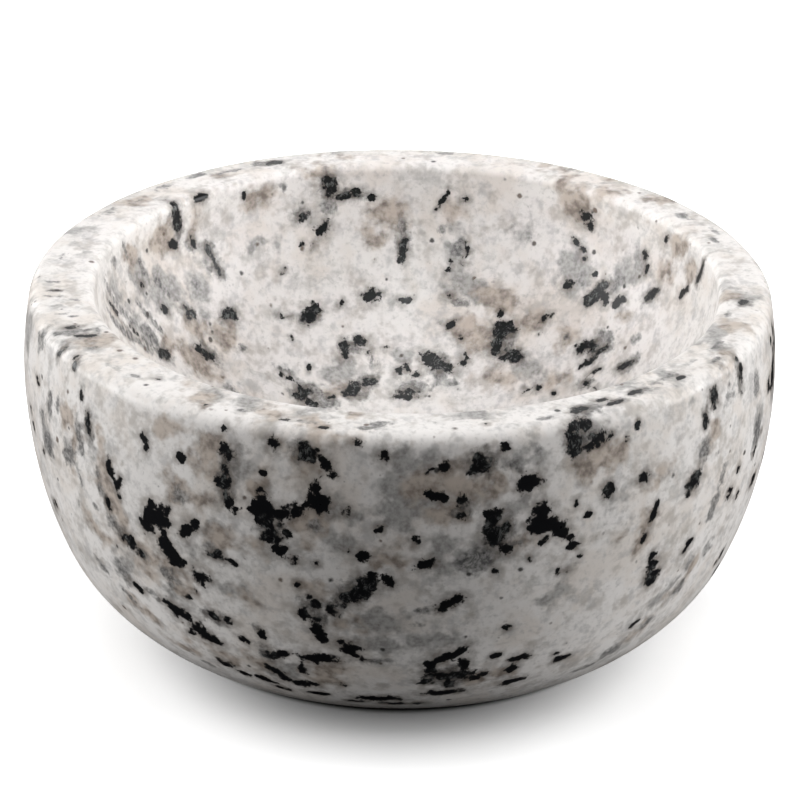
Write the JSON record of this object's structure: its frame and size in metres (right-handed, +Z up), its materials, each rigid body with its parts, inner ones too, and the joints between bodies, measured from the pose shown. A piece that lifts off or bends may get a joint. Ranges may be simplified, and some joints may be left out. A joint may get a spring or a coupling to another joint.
{
  "type": "shaving bowl",
  "caption": "Thick-walled round shaving bowl turned from speckled granite, with a full belly, a flat rim, a round hollow and a flat foot.",
  "frame": {"origin": "centre of the flat foot, on the surface that the bowl stands on", "axes": "+Z up along the turning axis, out of the mouth; the bowl is round, so +X and +Y are free"},
  "size_m": [0.12, 0.12, 0.056],
  "materials": {
    "granite": "satin polished, ground matt on the foot"
  },
  "bodies": {
    "root": {"granite_bowl": "granite"}
  },
  "joints": []
}
